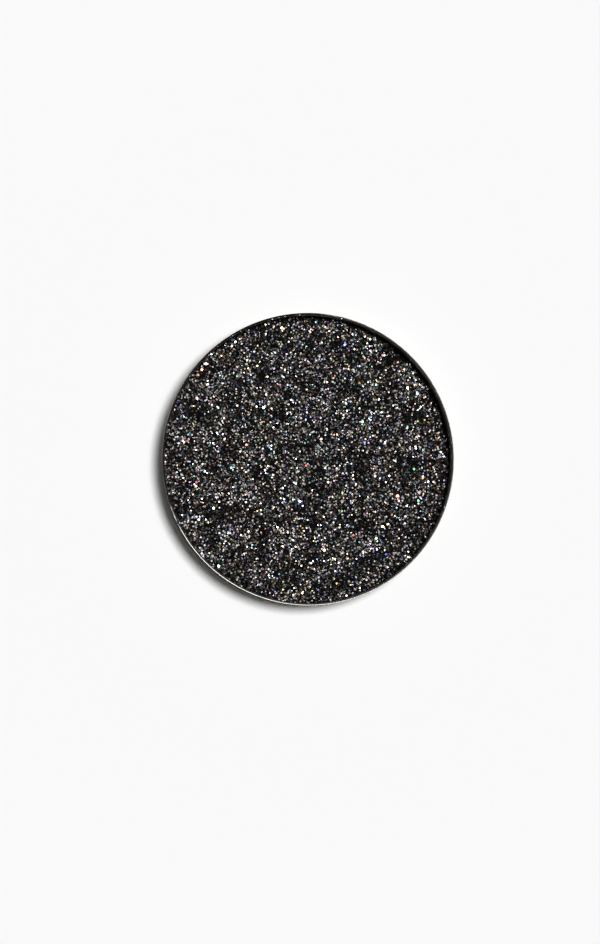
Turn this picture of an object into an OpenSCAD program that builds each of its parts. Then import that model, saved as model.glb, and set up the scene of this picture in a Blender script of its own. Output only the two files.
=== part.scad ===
// A round refill pan of pressed glitter eyeshadow: a cup drawn from tinplate, the glitter
// pressed into it, and a blank round label under its base.
// Z is up. The origin is the centre of the ring that the pan stands on.

/* [Pan] */
// Outside diameter of the pan
pan_d = 26; // [20:0.1:40]
// Height from the ring that the pan stands on to the highest edge of its rim
pan_h = 4; // [3:0.1:8]
// Thickness of the tinplate sheet
sheet_t = 0.2; // [0.15:0.01:0.35]
// Outside radius of the bend between the base and the wall
corner_r = 0.8; // [0.5:0.05:1.2]
// How much lower the rim's inner edge is than its outer edge, where the cup was trimmed
rim_drop = 0.04; // [0.01:0.01:0.1]

/* [Base panel] */
// Width of the flat ring that the pan stands on
foot_w = 1.2; // [0.6:0.1:2]
// How far the panel inside that ring is raised
panel_rise = 0.5; // [0.2:0.05:0.8]
// Radius on the inside of the two bends between the ring and the panel
panel_bend_r = 0.15; // [0.1:0.05:0.3]

/* [Pressed glitter] */
// Depth of the pressed surface below the highest edge of the rim
cake_drop = 1.8; // [0.5:0.1:2.5]

/* [Label] */
// Gap between the label's edge and the first bend of the panel
label_margin = 0.8; // [0.3:0.1:3]
// Thickness of the label with its adhesive
label_t = 0.1; // [0.05:0.01:0.2]

/* [Hidden] */
$fn = 180;

pan_r = pan_d / 2;
inner_r = pan_r - sheet_t;
cake_top = pan_h - cake_drop;

// The panel is joined to the ring by a slope at this angle, with a bend at each end.
slope = 45;
// Distance from a corner to where the arc of a bend begins, for a radius of 1
bend_start = tan(slope / 2);
// The outer side of a bend has the sheet's thickness added to its radius.
panel_bend_outer_r = panel_bend_r + sheet_t;
foot_inner_r = pan_r - corner_r - foot_w;
// Radius at which the slope would meet the panel if the bends were sharp, below and above the sheet
panel_edge_r = foot_inner_r - panel_bend_outer_r * bend_start - panel_rise / tan(slope);
panel_edge_top_r = panel_edge_r + sheet_t * bend_start;
label_r = panel_edge_r - panel_bend_r * bend_start - label_margin;

// How far a cutting shape runs past the face that it cuts
overcut = 0.5;

// Half section of a flat-bottomed shape with a rounded lower corner
module cup_section(r, bottom, top, rounding) {
    translate([0, bottom + rounding])
        square([r, top - bottom - rounding]);
    translate([0, bottom])
        square([r - rounding, 2 * rounding]);
    translate([r - rounding, bottom + rounding])
        circle(rounding);
}

// Half section of a raised panel whose slope would meet its top at edge_r:
// top_r rounds the upper edge, foot_r fills the corner where the slope meets the ring.
module panel_section(edge_r, top_r, foot_r) {
    top_start = top_r * bend_start;
    foot_start = foot_r * bend_start;
    foot_corner = edge_r + panel_rise / tan(slope);
    arc_centre = [edge_r - top_start, panel_rise - top_r];
    arc_end = [edge_r + top_start * cos(slope), panel_rise - top_start * sin(slope)];
    difference() {
        union() {
            polygon([
                [0, -overcut],
                [foot_corner + foot_start, -overcut],
                [foot_corner + foot_start, 0],
                [foot_corner - foot_start * cos(slope), foot_start * sin(slope)],
                arc_end,
                [edge_r - top_start, panel_rise],
                [0, panel_rise],
            ]);
            intersection() {
                translate(arc_centre)
                    circle(top_r);
                polygon([arc_centre, [edge_r - top_start, panel_rise], [edge_r, panel_rise], arc_end]);
            }
        }
        translate([foot_corner + foot_start, foot_r])
            circle(foot_r);
    }
}

// Half section of the space inside the cup, up to a height
module inside_section(top) {
    difference() {
        cup_section(inner_r, sheet_t, top, corner_r - sheet_t);
        translate([0, sheet_t])
            panel_section(panel_edge_top_r, panel_bend_outer_r, panel_bend_r);
    }
}

// The trimmed top of the wall, which slopes down towards the inside
module trim_section() {
    polygon([
        [pan_r + overcut, pan_h + rim_drop * overcut / sheet_t],
        [inner_r - overcut, pan_h - rim_drop * (sheet_t + overcut) / sheet_t],
        [inner_r - overcut, pan_h + overcut],
        [pan_r + overcut, pan_h + overcut],
    ]);
}

// Cup drawn from one round blank of tinplate
module pan() {
    color("silver")
        rotate_extrude()
            difference() {
                cup_section(pan_r, 0, pan_h, corner_r);
                inside_section(pan_h + overcut);
                panel_section(panel_edge_r, panel_bend_r, panel_bend_outer_r);
                trim_section();
            }
}

// Glitter and binder, pressed into the pan so that they fill it from wall to wall
module pressed_glitter() {
    color("#1b1a1c")
        rotate_extrude()
            inside_section(cake_top);
}

// Blank self-adhesive label on the underside of the raised panel
module base_label() {
    color("white")
        translate([0, 0, panel_rise - label_t])
            cylinder(r = label_r, h = label_t);
}

pan();
pressed_glitter();
base_label();
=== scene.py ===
import math

import bpy
import numpy as np
from mathutils import Matrix, Vector


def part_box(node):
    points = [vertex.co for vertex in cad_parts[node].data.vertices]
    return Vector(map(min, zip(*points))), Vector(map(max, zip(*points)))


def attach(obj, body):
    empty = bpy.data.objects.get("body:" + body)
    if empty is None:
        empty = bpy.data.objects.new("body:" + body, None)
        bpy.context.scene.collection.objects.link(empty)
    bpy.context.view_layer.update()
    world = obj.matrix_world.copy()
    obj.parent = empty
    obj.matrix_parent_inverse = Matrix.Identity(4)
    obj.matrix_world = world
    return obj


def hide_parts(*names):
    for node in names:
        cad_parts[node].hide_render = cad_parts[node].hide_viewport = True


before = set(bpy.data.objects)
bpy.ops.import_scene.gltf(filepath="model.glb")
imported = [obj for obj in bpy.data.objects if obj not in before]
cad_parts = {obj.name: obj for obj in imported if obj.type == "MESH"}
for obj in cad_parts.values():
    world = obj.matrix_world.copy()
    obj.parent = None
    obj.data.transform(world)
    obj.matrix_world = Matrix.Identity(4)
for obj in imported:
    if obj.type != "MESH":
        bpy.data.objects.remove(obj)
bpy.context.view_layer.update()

MM = 0.001
ROOT = "root"

# ---------------------------------------------------------------- sizes
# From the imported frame, in metres.
pan_r, pan_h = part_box("pan")[1].yz
inner_r, cake_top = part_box("pressed_glitter")[1].yz
label_low, label_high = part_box("base_label")
sheet_t = pan_r - inner_r
panel_rise = label_high.z

# The pan's bends, as in its design.
CORNER_R = 0.8 * MM
FOOT_W = 1.2 * MM
PANEL_BEND_R = 0.15 * MM
RIM_DROP = 0.04 * MM
# The trimmed rim is rounded a little at its outer edge and more at its inner one.
LIP_OUTER_R = 0.02 * MM
LIP_INNER_R = 0.16 * MM
LABEL_EDGE_R = 0.03 * MM

# Cosmetic glitter: hexagons die-cut from film, with a few larger ones. Width across their flats.
FLAKE_W = 0.14 * MM

# How finely the round pieces are cut: sides around, the longest stretch of outline, steps in a bend.
PAN_SIDES = 512
CAKE_SIDES = 384
LABEL_SIDES = 256
STRETCH = 0.5 * MM
CAKE_STRETCH = 0.15 * MM
BEND_STEPS = 8

# Powder clings to the rim mostly on this side.
DUSTED_SIDE = Vector((-0.77, 0.64, 0))

# ---------------------------------------------------------------- sizes of the surface patterns
# Marks and fibres have a size along X, Y and Z.
# Rolling marks are about 0.02 mm apart and drawing marks a little wider. They are drawn 0.06 mm and
# 0.12 mm apart, so that they show.
ROLLING_MARKS = (2.0 * MM, 0.06 * MM, 2.0 * MM)
DRAWING_MARKS = (0.12 * MM, 0.12 * MM, 4.0 * MM)
# Patches left by fingers
SMUDGE = 3 * MM
# Clumps of powder on the inside of the wall, and patches of it on the rim
CLUMP = 0.35 * MM
DUST_PATCH = 0.9 * MM
# Nicks from trimming are a few hundredths of a millimetre long, drawn 0.3 mm long to show.
NICK = 0.3 * MM
# The binder's grains are a few hundredths of a millimetre across, drawn 0.12 mm across to show.
BINDER_GRAIN = 0.12 * MM
# Paper fibres are about 0.02 mm wide, drawn 0.12 mm wide to show.
FIBRE = (0.5 * MM, 0.12 * MM, 0.3 * MM)


# ---------------------------------------------------------------- node and colour helpers
def srgb(code):
    """Linear colour of an sRGB hex code such as "#c9c7c2"."""
    parts = [int(code[i : i + 2], 16) / 255 for i in (1, 3, 5)]
    return (*(p / 12.92 if p <= 0.04045 else ((p + 0.055) / 1.055) ** 2.4 for p in parts), 1)


def add_node(tree, kind, inputs=None, **settings):
    """Adds a node with its settings. An input is a value, an output socket, or a node, whose first
    output in use is linked."""
    node = tree.nodes.new(kind)
    for name, value in settings.items():
        setattr(node, name, value)
    for name, value in (inputs or {}).items():
        if isinstance(value, bpy.types.Node):
            value = next(output for output in value.outputs if output.enabled)
        if isinstance(value, bpy.types.NodeSocket):
            tree.links.new(value, node.inputs[name])
        else:
            node.inputs[name].default_value = value
    return node


def new_material(name):
    """An empty node material and its tree."""
    mat = bpy.data.materials.new(name)
    mat.use_nodes = True
    mat.node_tree.nodes.clear()
    return mat, mat.node_tree


def finish_material(tree, **inputs):
    """Closes a tree with a Principled shader that has these inputs, spaces written as underscores."""
    named = {name.replace("_", " "): value for name, value in inputs.items()}
    shader = add_node(tree, "ShaderNodeBsdfPrincipled", named)
    add_node(tree, "ShaderNodeOutputMaterial", {"Surface": shader})


# ---------------------------------------------------------------- materials
def tinplate(name, marks, roughness, bright, dull, bump):
    """Rolled or drawn tinplate: steel sheet with a thin bright coat of tin. Its fine straight marks
    streak what it reflects. Handling has dulled it in faint patches, and it looks darker edge on."""
    mat, tree = new_material(name)
    position = add_node(tree, "ShaderNodeTexCoord").outputs["Object"]
    stretched = add_node(
        tree, "ShaderNodeMapping", {"Vector": position, "Scale": [1 / size for size in marks]}
    )
    noise = add_node(tree, "ShaderNodeTexNoise", {"Vector": stretched, "Scale": 1, "Detail": 4})
    streaks = add_node(tree, "ShaderNodeMapRange", {"Value": noise, "From Min": 0.3, "From Max": 0.7})
    smudges = add_node(
        tree, "ShaderNodeTexNoise", {"Vector": position, "Scale": 1 / SMUDGE, "Detail": 8}
    )
    dulled = add_node(
        tree, "ShaderNodeMapRange", {"Value": smudges, "From Min": 0.45, "From Max": 0.7, "To Max": 0.05}
    )
    rough = add_node(
        tree, "ShaderNodeMapRange", {"Value": streaks, "To Min": roughness, "To Max": roughness + 0.08}
    )
    finish_material(
        tree,
        Base_Color=add_node(
            tree,
            "ShaderNodeMix",
            {"Factor": streaks, "A": srgb(bright), "B": srgb(dull)},
            data_type="RGBA",
        ),
        Metallic=1.0,
        Roughness=add_node(tree, "ShaderNodeMath", {0: rough, 1: dulled}, operation="ADD"),
        Specular_Tint=srgb("#8c8a87"),
        Normal=add_node(tree, "ShaderNodeBump", {"Height": streaks, "Strength": 0.5, "Distance": bump}),
    )
    return mat


def drawn_tinplate_with_residue(name):
    """The inside of the wall: drawn tinplate that pressed powder has darkened and speckled, most of
    all just above the glitter, so that it reflects as a dull brownish grey."""
    mat, tree = new_material(name)
    position = add_node(tree, "ShaderNodeTexCoord").outputs["Object"]
    height = add_node(tree, "ShaderNodeSeparateXYZ", {"Vector": position}).outputs["Z"]
    clumps = add_node(
        tree, "ShaderNodeTexNoise", {"Vector": position, "Scale": 1 / CLUMP, "Detail": 8}
    )
    towards_rim = add_node(
        tree,
        "ShaderNodeMapRange",
        {"Value": height, "From Min": cake_top, "From Max": pan_h, "To Min": -0.3, "To Max": 0.5},
    )
    between_clumps = add_node(
        tree,
        "ShaderNodeMapRange",
        {"Value": clumps, "From Min": 0.35, "From Max": 0.65, "To Min": -0.1, "To Max": 0.5},
    )
    cleaner = add_node(tree, "ShaderNodeMath", {0: towards_rim, 1: between_clumps}, operation="ADD")
    finish_material(
        tree,
        Base_Color=add_node(
            tree,
            "ShaderNodeMix",
            {"Factor": cleaner, "A": srgb("#332f2c"), "B": srgb("#8a8176")},
            data_type="RGBA",
        ),
        Metallic=1.0,
        Roughness=add_node(
            tree, "ShaderNodeMapRange", {"Value": cleaner, "To Min": 0.55, "To Max": 0.35}
        ),
        Normal=add_node(
            tree, "ShaderNodeBump", {"Height": clumps, "Strength": 0.5, "Distance": 0.01 * MM}
        ),
    )
    return mat


def trimmed_tinplate(name):
    """The rim, where the cup was trimmed: a thin satin line of cut steel, brightest where the light
    catches its rounded edge, and dulled along one stretch by the powder left on it."""
    mat, tree = new_material(name)
    position = add_node(tree, "ShaderNodeTexCoord").outputs["Object"]
    side = add_node(
        tree, "ShaderNodeVectorMath", {0: position, 1: DUSTED_SIDE / pan_r}, operation="DOT_PRODUCT"
    )
    patches = add_node(
        tree, "ShaderNodeTexNoise", {"Vector": position, "Scale": 1 / DUST_PATCH, "Detail": 4}
    )
    uneven = add_node(
        tree,
        "ShaderNodeMapRange",
        {"Value": patches, "From Min": 0.3, "From Max": 0.7, "To Min": -0.25, "To Max": 0.25},
    )
    covered = add_node(
        tree, "ShaderNodeMath", {0: side.outputs["Value"], 1: uneven}, operation="ADD"
    )
    dust = add_node(tree, "ShaderNodeMapRange", {"Value": covered, "From Min": 0.3, "From Max": 0.6})
    nicks = add_node(
        tree, "ShaderNodeTexNoise", {"Vector": position, "Scale": 1 / NICK, "Detail": 4}
    )
    finish_material(
        tree,
        Base_Color=add_node(
            tree,
            "ShaderNodeMix",
            {"Factor": dust, "A": srgb("#7e7c78"), "B": srgb("#262322")},
            data_type="RGBA",
        ),
        Metallic=1.0,
        Roughness=add_node(tree, "ShaderNodeMapRange", {"Value": dust, "To Min": 0.32, "To Max": 0.6}),
        Normal=add_node(
            tree, "ShaderNodeBump", {"Height": nicks, "Strength": 0.5, "Distance": 0.004 * MM}
        ),
    )
    return mat


def pressed_binder(name):
    """Black pigment pressed with a waxy binder: matt and almost without gloss, so it is the black
    that shows between the flakes."""
    mat, tree = new_material(name)
    position = add_node(tree, "ShaderNodeTexCoord").outputs["Object"]
    grain = add_node(
        tree, "ShaderNodeTexNoise", {"Vector": position, "Scale": 1 / BINDER_GRAIN, "Detail": 4}
    )
    finish_material(
        tree,
        Base_Color=add_node(
            tree,
            "ShaderNodeMix",
            {"Factor": grain, "A": srgb("#040404"), "B": srgb("#0a0a0a")},
            data_type="RGBA",
        ),
        Roughness=0.95,
        Specular_IOR_Level=0.1,
        Normal=add_node(
            tree, "ShaderNodeBump", {"Height": grain, "Strength": 0.8, "Distance": 0.03 * MM}
        ),
    )
    return mat


def metallised_film(name, colour, roughness):
    """Polyester film, metallised in vacuum, lacquered in a tint and die-cut into flakes. Each flake is
    a small flat mirror of one tint, slightly blurred, so it glints or goes black as a whole. What
    varies over the surface is the tint and the lean from one flake to the next."""
    mat, tree = new_material(name)
    finish_material(tree, Base_Color=srgb(colour), Metallic=1.0, Roughness=roughness)
    return mat


def uncoated_paper(name):
    """Uncoated label paper: matt and slightly mottled by its fibres."""
    mat, tree = new_material(name)
    position = add_node(tree, "ShaderNodeTexCoord").outputs["Object"]
    stretched = add_node(
        tree, "ShaderNodeMapping", {"Vector": position, "Scale": [1 / size for size in FIBRE]}
    )
    fibres = add_node(tree, "ShaderNodeTexNoise", {"Vector": stretched, "Scale": 1, "Detail": 8})
    finish_material(
        tree,
        Base_Color=add_node(
            tree,
            "ShaderNodeMix",
            {"Factor": fibres, "A": srgb("#e4e2dc"), "B": srgb("#f6f5f1")},
            data_type="RGBA",
        ),
        Roughness=0.8,
        Normal=add_node(
            tree, "ShaderNodeBump", {"Height": fibres, "Strength": 0.4, "Distance": 0.01 * MM}
        ),
    )
    return mat


def white_card(name):
    """Matt white card, which shows the shadow plainly and gives no glare."""
    mat, tree = new_material(name)
    finish_material(tree, Base_Color=srgb("#f2f2f2"), Roughness=0.9)
    return mat


# ---------------------------------------------------------------- shapes
def rounded(corners):
    """Outline through (radius, height, bend radius) corners, with an arc in place of each bent one."""
    outline = []
    for i, (x, z, bend) in enumerate(corners):
        here = np.array((x, z))
        if not bend:
            outline.append(here)
            continue
        before = np.array(corners[i - 1][:2]) - here
        after = np.array(corners[i + 1][:2]) - here
        before, after = before / np.linalg.norm(before), after / np.linalg.norm(after)
        half = math.acos(np.clip(before @ after, -1, 1)) / 2
        middle = before + after
        centre = here + middle / np.linalg.norm(middle) * bend / math.sin(half)
        start = here + before * bend / math.tan(half) - centre
        end = here + after * bend / math.tan(half) - centre
        turn = math.atan2(start[0] * end[1] - start[1] * end[0], start @ end)
        for t in np.linspace(0, turn, BEND_STEPS + 1):
            spin = np.array(((math.cos(t), -math.sin(t)), (math.sin(t), math.cos(t))))
            outline.append(centre + spin @ start)
    return np.array(outline)


def subdivided(outline, longest):
    """The outline with every stretch over the longest length cut into equal parts."""
    points = [outline[0]]
    for start, end in zip(outline[:-1], outline[1:]):
        parts = max(1, math.ceil(np.linalg.norm(end - start) / longest))
        points += [start + (end - start) * k / parts for k in range(1, parts + 1)]
    return np.array(points)


def new_piece(name, points, faces):
    """A mesh object in the scene."""
    mesh = bpy.data.meshes.new(name)
    mesh.from_pydata(points, [], faces)
    piece = bpy.data.objects.new(name, mesh)
    bpy.context.collection.objects.link(piece)
    return piece


def lathe(name, outline, sides, shift=None):
    """Closed solid turned about Z from an outline whose two ends lie on the axis. shift, if given,
    moves its points."""
    rings = outline[1:-1]
    angle = np.arange(sides) * 2 * math.pi / sides
    radius = np.repeat(rings[:, 0], sides)
    around = np.tile(angle, len(rings))
    points = np.stack(
        (radius * np.cos(around), radius * np.sin(around), np.repeat(rings[:, 1], sides)), 1
    )
    points = np.vstack((points, (0, 0, outline[0][1]), (0, 0, outline[-1][1])))
    if shift:
        points = shift(points)
    ring = np.arange(len(rings) * sides).reshape(len(rings), sides)
    beside = np.roll(ring, -1, axis=1)
    quads = np.stack((ring[:-1], beside[:-1], beside[1:], ring[1:]), -1).reshape(-1, 4)
    first, last = len(points) - 2, len(points) - 1
    faces = [tuple(q) for q in quads.tolist()]
    faces += [(first, beside[0][i], ring[0][i]) for i in range(sides)]
    faces += [(last, ring[-1][i], beside[-1][i]) for i in range(sides)]
    piece = new_piece(name, points.tolist(), faces)
    piece.data.shade_smooth()
    return piece


def add_piece(piece, node, materials):
    """Gives a piece its materials and ties it to the frame."""
    for mat in materials:
        piece.data.materials.append(mat)
    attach(piece, ROOT)
    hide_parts(node)


def face_centres(mesh):
    """Centres and normals of a mesh's faces."""
    centres = np.empty(len(mesh.polygons) * 3)
    normals = np.empty(len(mesh.polygons) * 3)
    mesh.polygons.foreach_get("center", centres)
    mesh.polygons.foreach_get("normal", normals)
    return centres.reshape(-1, 3), normals.reshape(-1, 3)


# ---------------------------------------------------------------- pan
# The panel's slope is at 45 degrees. Distance from one of its corners to where the bend begins, for
# a bend of radius 1
BEND_START = math.tan(math.radians(45 / 2))
foot_inner_r = pan_r - CORNER_R - FOOT_W
panel_edge_r = foot_inner_r - (PANEL_BEND_R + sheet_t) * BEND_START - panel_rise
panel_edge_top_r = panel_edge_r + sheet_t * BEND_START

# Inside of the cup, from the middle of the panel to the foot of the wall
INSIDE_CORNERS = [
    (0, panel_rise + sheet_t, 0),
    (panel_edge_top_r, panel_rise + sheet_t, PANEL_BEND_R + sheet_t),
    (panel_edge_top_r + panel_rise, sheet_t, PANEL_BEND_R),
    (inner_r, sheet_t, CORNER_R - sheet_t),
]


def make_pan():
    """The cup, in the finish that each part of it was left with."""
    outline = rounded(
        [
            *INSIDE_CORNERS,
            (inner_r, pan_h - RIM_DROP, LIP_INNER_R),
            (pan_r, pan_h, LIP_OUTER_R),
            (pan_r, 0, CORNER_R),
            (panel_edge_r + panel_rise, 0, PANEL_BEND_R + sheet_t),
            (panel_edge_r, panel_rise, PANEL_BEND_R),
            (0, panel_rise, 0),
        ]
    )
    piece = lathe("tinplate_pan", subdivided(outline[::-1], STRETCH), PAN_SIDES)
    add_piece(
        piece,
        "pan",
        [
            tinplate("rolled_tinplate_base", ROLLING_MARKS, 0.26, "#cac8c3", "#b0aea8", 0.004 * MM),
            tinplate("drawn_tinplate_wall", DRAWING_MARKS, 0.1, "#c4c2bd", "#a19f9a", 0.0015 * MM),
            drawn_tinplate_with_residue("drawn_tinplate_wall_with_residue"),
            trimmed_tinplate("trimmed_tinplate_rim"),
        ],
    )
    base, outer_wall, inner_wall, rim = range(4)
    centres, normals = face_centres(piece.data)
    # A face within 30 degrees of the vertical belongs to the wall.
    upright = np.abs(normals[:, 2]) < math.sin(math.radians(30))
    inside = upright & (np.hypot(centres[:, 0], centres[:, 1]) < pan_r - sheet_t / 2)
    on_rim = centres[:, 2] > pan_h - 2 * RIM_DROP
    kinds = np.select([on_rim, inside, upright], [rim, inner_wall, outer_wall], base)
    piece.data.polygons.foreach_set("material_index", kinds.astype(np.int32))


# ---------------------------------------------------------------- pressed glitter
rng = np.random.default_rng(26)


def waves(count, shortest, longest):
    """Random waves across the surface: the wave vector and phase of each."""
    length = rng.uniform(shortest, longest, count)
    turn, phase = rng.uniform(0, 2 * math.pi, (2, count))
    return 2 * math.pi / length[:, None] * np.stack((np.cos(turn), np.sin(turn)), 1), phase


# The pressed surface isn't quite flat: the press leaves low swells, and it falls off beside the wall.
SWELL_HEIGHT = 0.012 * MM
swell_wave, swell_phase = waves(14, 3 * MM, 9 * MM)
EDGE_FALL = 0.12 * MM
EDGE_W = 0.9 * MM
# The flakes lie flatter in some patches than in others, by about this share.
PATCHINESS = 0.14
patch_wave, patch_phase = waves(16, 1.2 * MM, 5 * MM)
# How far below the pressed surface the binder fills the gaps between the flakes
BINDER_DEPTH = 0.08 * MM

# Share of the blend, then the film's name, colour and roughness
FILMS = [
    (42, "black_metallised_film", "#3a3837", 0.3),
    (7.5, "warm_black_metallised_film", "#453930", 0.3),
    (6, "olive_black_metallised_film", "#3f3d2f", 0.3),
    (6, "cool_black_metallised_film", "#333a45", 0.3),
    (5, "mauve_black_metallised_film", "#3d3644", 0.3),
    (12, "gunmetal_metallised_film", "#5a5856", 0.33),
    (2.6, "warm_gunmetal_metallised_film", "#675748", 0.33),
    (2.2, "olive_gunmetal_metallised_film", "#605d45", 0.33),
    (2.0, "cool_gunmetal_metallised_film", "#4a566a", 0.33),
    (1.6, "teal_gunmetal_metallised_film", "#455f5f", 0.33),
    (1.6, "mauve_gunmetal_metallised_film", "#604f64", 0.33),
    (5, "dark_silver_metallised_film", "#949290", 0.32),
    (0.9, "dark_peach_silver_metallised_film", "#a88e78", 0.32),
    (0.8, "dark_gold_silver_metallised_film", "#a2976a", 0.32),
    (0.7, "dark_blue_silver_metallised_film", "#7c8cac", 0.32),
    (0.6, "dark_teal_silver_metallised_film", "#76a0a0", 0.32),
    (0.5, "dark_mauve_silver_metallised_film", "#987e9e", 0.32),
    (0.65, "silver_metallised_film", "#d8d5d2", 0.34),
    (0.3, "warm_silver_metallised_film", "#d0baa4", 0.34),
    (0.25, "cool_silver_metallised_film", "#a4b6d2", 0.34),
    (0.35, "rose_silver_metallised_film", "#b2887e", 0.34),
    (0.35, "green_silver_metallised_film", "#8ab296", 0.34),
    (0.12, "copper_metallised_film", "#a47454", 0.34),
    (0.11, "red_metallised_film", "#a46254", 0.34),
    (0.14, "gold_metallised_film", "#ae9662", 0.34),
    (0.09, "green_metallised_film", "#66987c", 0.34),
    (0.1, "cyan_metallised_film", "#6292a2", 0.34),
    (0.14, "blue_metallised_film", "#6474ac", 0.34),
    (0.07, "violet_metallised_film", "#78669e", 0.34),
]
# Flakes in one layer. Three layers cover the binder.
LAYER_COUNT = 15000
# Lowest and highest centre of a flake in each layer, above the pressed surface
LAYERS = [
    ("bedded_flakes", -0.1 * MM, -0.06 * MM),
    ("pressed_flakes", -0.06 * MM, -0.02 * MM),
    ("surface_flakes", -0.02 * MM, 0.02 * MM),
]
# Most flakes lie nearly flat. The loose share of them leans further. Leans are in degrees.
LEAN, LOOSE_LEAN, LOOSE = 14, 26, 0.25
# How much the widths of the flakes vary, and their limits, as shares of the usual width
WIDTH_SPREAD, NARROWEST, WIDEST = 0.12, 0.7, 1.35
# How far the middles of the flakes stay from the wall
WALL_MARGIN = 0.45 * FLAKE_W
# How far a flake's point is below its flat top, as a share of its width
POINT_DEPTH = 0.25

# The few larger holographic flakes, and how they lie
LARGE_COUNT = 38
LARGE_W = 1.4 * FLAKE_W
LARGE_MARGIN = FLAKE_W
LARGE_LIFT = 0.03 * MM
LARGE_LEAN = 6
HOLOGRAM_ROUGHNESS = 0.22
HOLOGRAMS = ["#f09070", "#ecc86c", "#78cc94", "#6cc0d8", "#7a8cf0", "#d87868"]

# Loose flakes on the rim: the number, middle and spread in degrees of those on its dusted stretch
# and of the others, how they lie, and how far inside its edges and below its top they stay.
DUSTED_COUNT, DUSTED_SPREAD = 45, 35
OTHER_COUNT, OTHER_MIDDLE, OTHER_SPREAD = 15, 10, 30
STRAY_W = 0.85 * FLAKE_W
STRAY_LEAN = 10
STRAY_INNER_MARGIN, STRAY_OUTER_MARGIN = 0.05 * MM, 0.08 * MM
STRAY_DEPTH = 0.035 * MM

# Flakes on the inside of the wall: how many, how clear they stay of the rim, how deep they sit in
# the wall, how unevenly they lie, and their widths as shares of the usual one.
WALL_COUNT = 260
WALL_CLEAR = 0.3 * MM
WALL_SINK = 0.01 * MM
WALL_LEAN = 0.15
WALL_NARROWEST, WALL_WIDEST = 0.5, 0.95


def cake_surface(x, y):
    """Height of the pressed surface, and its slope along X and Y."""
    phase = x[:, None] * swell_wave[:, 0] + y[:, None] * swell_wave[:, 1] + swell_phase
    height = SWELL_HEIGHT * np.sin(phase).sum(1)
    slope = SWELL_HEIGHT * np.cos(phase) @ swell_wave
    # Kept above zero, so that the slope can be divided by it at the middle.
    radius = np.maximum(np.hypot(x, y), 1e-9)
    into_edge = np.clip((radius - inner_r) / EDGE_W + 1, 0, 1)
    height -= EDGE_FALL * into_edge**2
    edge_slope = -2 * EDGE_FALL * into_edge / EDGE_W
    slope += (edge_slope / radius)[:, None] * np.stack((x, y), 1)
    return cake_top + height, slope


def make_cake():
    """The black cake under the flakes, with its top pressed to the surface's shape."""
    outline = rounded([*INSIDE_CORNERS, (inner_r, cake_top, 0), (0, cake_top, 0)])

    def press(points):
        x, y, z = points.T
        height, _ = cake_surface(x, y)
        return np.stack((x, y, np.where(np.isclose(z, cake_top), height - BINDER_DEPTH, z)), 1)

    piece = lathe("pressed_binder", subdivided(outline, CAKE_STRETCH), CAKE_SIDES, press)
    add_piece(piece, "pressed_glitter", [pressed_binder("black_pressed_binder")])


def flakes(name, centres, normals, widths, kinds, materials):
    """Closed hexagonal flakes, each flat on top and drawn to a shallow point below, where it is bedded.
    normals point out of the tops, and kinds index the materials."""
    count = len(centres)
    normals = normals / np.linalg.norm(normals, axis=1)[:, None]
    side = np.cross(normals, rng.normal(size=(count, 3)))
    side /= np.linalg.norm(side, axis=1)[:, None]
    other = np.cross(normals, side)
    turn = (np.arange(6) * math.pi / 3)[None, :, None]
    reach = (widths / math.sqrt(3))[:, None, None]
    edge = centres[:, None] + (np.cos(turn) * side[:, None] + np.sin(turn) * other[:, None]) * reach
    point = centres - normals * widths[:, None] * POINT_DEPTH
    points = np.concatenate((edge, point[:, None]), 1)
    # The six corners come first and the point last: one flat top, then six faces down to the point.
    shape = [tuple(range(6))] + [((k + 1) % 6, k, 6) for k in range(6)]
    faces = [[v + points.shape[1] * i for v in face] for i in range(count) for face in shape]
    piece = new_piece(name, points.reshape(-1, 3).tolist(), faces)
    add_piece(piece, "pressed_glitter", materials)
    kind_of_face = np.repeat(kinds, len(shape)).astype(np.int32)
    piece.data.polygons.foreach_set("material_index", kind_of_face)


def leaning(count, degrees):
    """Normals that lean off the vertical by this much, in any direction."""
    return np.column_stack((rng.normal(size=(count, 2)) * np.radians(degrees), np.ones(count)))


def scattered(count, margin):
    """Points spread evenly over the pressed surface, this far from the wall."""
    radius = (inner_r - margin) * np.sqrt(rng.uniform(0, 1, count))
    angle = rng.uniform(0, 2 * math.pi, count)
    return radius * np.cos(angle), radius * np.sin(angle)


def patchiness(x, y):
    """How many times as much as usual the flakes lean in this place."""
    wave = np.sin(np.column_stack((x, y)) @ patch_wave.T + patch_phase).sum(1)
    # The sum of n waves spreads by the square root of n / 2.
    return np.exp(PATCHINESS * wave / math.sqrt(len(patch_wave) / 2))


def layer_of_flakes(name, lowest, highest, films, shares):
    """One layer of the blend, its flakes' centres between these heights above the pressed surface."""
    x, y = scattered(LAYER_COUNT, WALL_MARGIN)
    height, slope = cake_surface(x, y)
    loose = rng.uniform(size=LAYER_COUNT) < LOOSE
    lean = np.where(loose, LOOSE_LEAN, LEAN) * patchiness(x, y)
    normals = leaning(LAYER_COUNT, lean[:, None])
    normals[:, :2] -= slope
    centres = np.column_stack((x, y, height + rng.uniform(lowest, highest, LAYER_COUNT)))
    widths = FLAKE_W * rng.normal(1, WIDTH_SPREAD, LAYER_COUNT).clip(NARROWEST, WIDEST)
    flakes(name, centres, normals, widths, rng.choice(len(films), LAYER_COUNT, p=shares), films)


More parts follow.
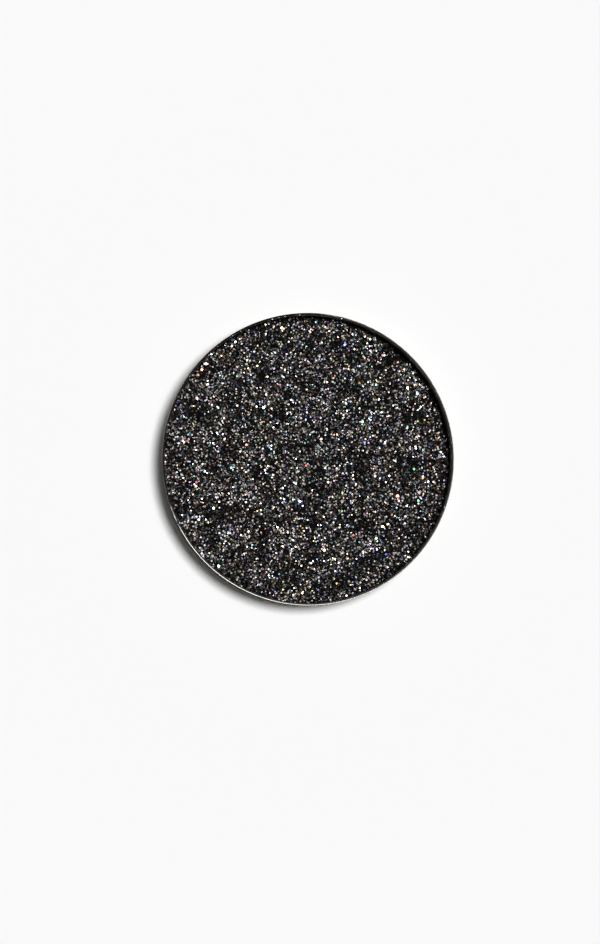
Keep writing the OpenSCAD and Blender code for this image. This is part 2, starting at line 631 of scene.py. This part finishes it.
def make_large_flakes():
    """The few larger holographic flakes that lie flat on top and catch the light in colour."""
    films = [
        metallised_film(f"holographic_metallised_film_{i + 1}", colour, HOLOGRAM_ROUGHNESS)
        for i, colour in enumerate(HOLOGRAMS)
    ]
    x, y = scattered(LARGE_COUNT, LARGE_MARGIN)
    height, _ = cake_surface(x, y)
    centres = np.column_stack((x, y, height + LARGE_LIFT))
    widths = np.full(LARGE_COUNT, LARGE_W)
    kinds = rng.integers(len(films), size=LARGE_COUNT)
    flakes("large_hologram_flakes", centres, leaning(LARGE_COUNT, LARGE_LEAN), widths, kinds, films)


def make_stray_flakes(films, shares):
    """Loose flakes left on the rim, mostly along one stretch of it."""
    count = DUSTED_COUNT + OTHER_COUNT
    dusted_middle = math.degrees(math.atan2(DUSTED_SIDE.y, DUSTED_SIDE.x))
    dusted = rng.normal(dusted_middle, DUSTED_SPREAD, DUSTED_COUNT)
    angle = np.radians(np.append(dusted, rng.normal(OTHER_MIDDLE, OTHER_SPREAD, OTHER_COUNT)))
    radius = rng.uniform(inner_r + STRAY_INNER_MARGIN, pan_r - STRAY_OUTER_MARGIN, count)
    height = np.full(count, pan_h - STRAY_DEPTH)
    centres = np.column_stack((radius * np.cos(angle), radius * np.sin(angle), height))
    widths = np.full(count, STRAY_W)
    kinds = rng.choice(len(films), count, p=shares)
    flakes("stray_flakes_on_rim", centres, leaning(count, STRAY_LEAN), widths, kinds, films)


def make_wall_flakes(films, shares):
    """Flakes that cling to the inside of the wall, most of them just above the pressed surface."""
    angle = rng.uniform(0, 2 * math.pi, WALL_COUNT)
    inwards = -np.column_stack((np.cos(angle), np.sin(angle), np.zeros(WALL_COUNT)))
    centres = -inwards * (inner_r - WALL_SINK)
    reach = pan_h - cake_top - WALL_CLEAR
    centres[:, 2] = cake_top + reach * rng.uniform(0, 1, WALL_COUNT) ** 2
    normals = inwards + WALL_LEAN * rng.normal(size=(WALL_COUNT, 3))
    widths = FLAKE_W * rng.uniform(WALL_NARROWEST, WALL_WIDEST, WALL_COUNT)
    kinds = rng.choice(len(films), WALL_COUNT, p=shares)
    flakes("flakes_on_wall", centres, normals, widths, kinds, films)


def make_glitter():
    """All the flakes: the layers of the blend, then the large, the stray and the clinging ones."""
    films = [metallised_film(*values) for _, *values in FILMS]
    shares = np.array([share for share, *_ in FILMS])
    shares = shares / shares.sum()
    for name, lowest, highest in LAYERS:
        layer_of_flakes(name, lowest, highest, films, shares)
    make_large_flakes()
    make_stray_flakes(films, shares)
    make_wall_flakes(films, shares)


# ---------------------------------------------------------------- label
def make_label():
    """The blank label under the raised panel."""
    outline = rounded(
        [
            (0, label_low.z, 0),
            (label_high.y, label_low.z, LABEL_EDGE_R),
            (label_high.y, label_high.z, LABEL_EDGE_R),
            (0, label_high.z, 0),
        ]
    )
    piece = lathe("blank_base_label", subdivided(outline, STRETCH), LABEL_SIDES)
    add_piece(piece, "base_label", [uncoated_paper("uncoated_label_paper")])


# ---------------------------------------------------------------- stage, light and camera
# Half the width of the floor, which reaches past the edges of the picture. Metres.
FLOOR_HALF = 3.0

# The light: strength, width in degrees, and direction as degrees around from X and off the vertical
SUN_STRENGTH = 3.24
SUN_WIDTH = 15
SUN_AZIMUTH, SUN_ZENITH = 38, 10.5
# The studio is bright at the horizon and fades to dark overhead, between these heights of the sky.
SKY_LOW, SKY_HIGH = 0.05, 0.28
HORIZON_STRENGTH, OVERHEAD_STRENGTH = 0.95, 0.03

# The camera looks down from 5 degrees off the vertical. Its picture is VIEW_H high at the rim.
CAMERA_AZIMUTH, CAMERA_ZENITH = 200, 5
# Millimetres, as a lens is marked
FOCAL_LENGTH, SENSOR_W = 200, 36
VIEW_H = 83.8 * MM
AIM = Vector((-0.76 * MM, -1.15 * MM, pan_h))


def direction(azimuth, zenith):
    """Unit vector at these degrees around from X and off the vertical."""
    around, off = math.radians(azimuth), math.radians(zenith)
    return Vector((math.cos(around) * math.sin(off), math.sin(around) * math.sin(off), math.cos(off)))


def make_floor():
    """The plain studio floor."""
    corners = [(x * FLOOR_HALF, y * FLOOR_HALF, 0) for x, y in ((-1, -1), (1, -1), (1, 1), (-1, 1))]
    floor = new_piece("floor", corners, [(0, 1, 2, 3)])
    floor.data.materials.append(white_card("white_card"))


def make_light():
    """One broad lamp high on the right, and a studio that is bright only near the horizon."""
    key = bpy.data.lights.new("key", "SUN")
    key.energy = SUN_STRENGTH
    key.angle = math.radians(SUN_WIDTH)
    lamp = bpy.data.objects.new("key", key)
    bpy.context.collection.objects.link(lamp)
    lamp.rotation_mode = "QUATERNION"
    lamp.rotation_quaternion = direction(SUN_AZIMUTH, SUN_ZENITH).to_track_quat("Z", "Y")

    world = bpy.data.worlds.new("studio")
    bpy.context.scene.world = world
    world.use_nodes = True
    tree = world.node_tree
    tree.nodes.clear()
    sky = add_node(tree, "ShaderNodeTexCoord").outputs["Generated"]
    height = add_node(tree, "ShaderNodeSeparateXYZ", {"Vector": sky}).outputs["Z"]
    fade = add_node(
        tree,
        "ShaderNodeMapRange",
        {
            "Value": height,
            "From Min": SKY_LOW,
            "From Max": SKY_HIGH,
            "To Min": HORIZON_STRENGTH,
            "To Max": OVERHEAD_STRENGTH,
        },
        interpolation_type="SMOOTHSTEP",
    )
    light = add_node(tree, "ShaderNodeBackground", {"Color": srgb("#ffffff"), "Strength": fade})
    add_node(tree, "ShaderNodeOutputWorld", {"Surface": light})


def make_camera():
    """Looks down at the pan with the top of the picture towards Y."""
    camera = bpy.data.cameras.new("camera")
    camera.lens = FOCAL_LENGTH
    camera.sensor_width = SENSOR_W
    camera.clip_start, camera.clip_end = 0.01, 10
    back = direction(CAMERA_AZIMUTH, CAMERA_ZENITH)
    right = Vector((0, 1, 0)).cross(back).normalized()
    up = back.cross(right)
    eye = bpy.data.objects.new("camera", camera)
    bpy.context.collection.objects.link(eye)
    eye.location = AIM + back * (VIEW_H * FOCAL_LENGTH / SENSOR_W)
    eye.rotation_mode = "QUATERNION"
    eye.rotation_quaternion = Matrix((right, up, back)).transposed().to_quaternion()
    bpy.context.scene.camera = eye


make_camera()
make_light()
make_floor()
make_pan()
make_cake()
make_glitter()
make_label()
# Colours come out as they are given, and the picture is sharp enough to keep small flakes apart.
bpy.context.scene.view_settings.view_transform = "Standard"
bpy.context.scene.cycles.filter_width = 1.4
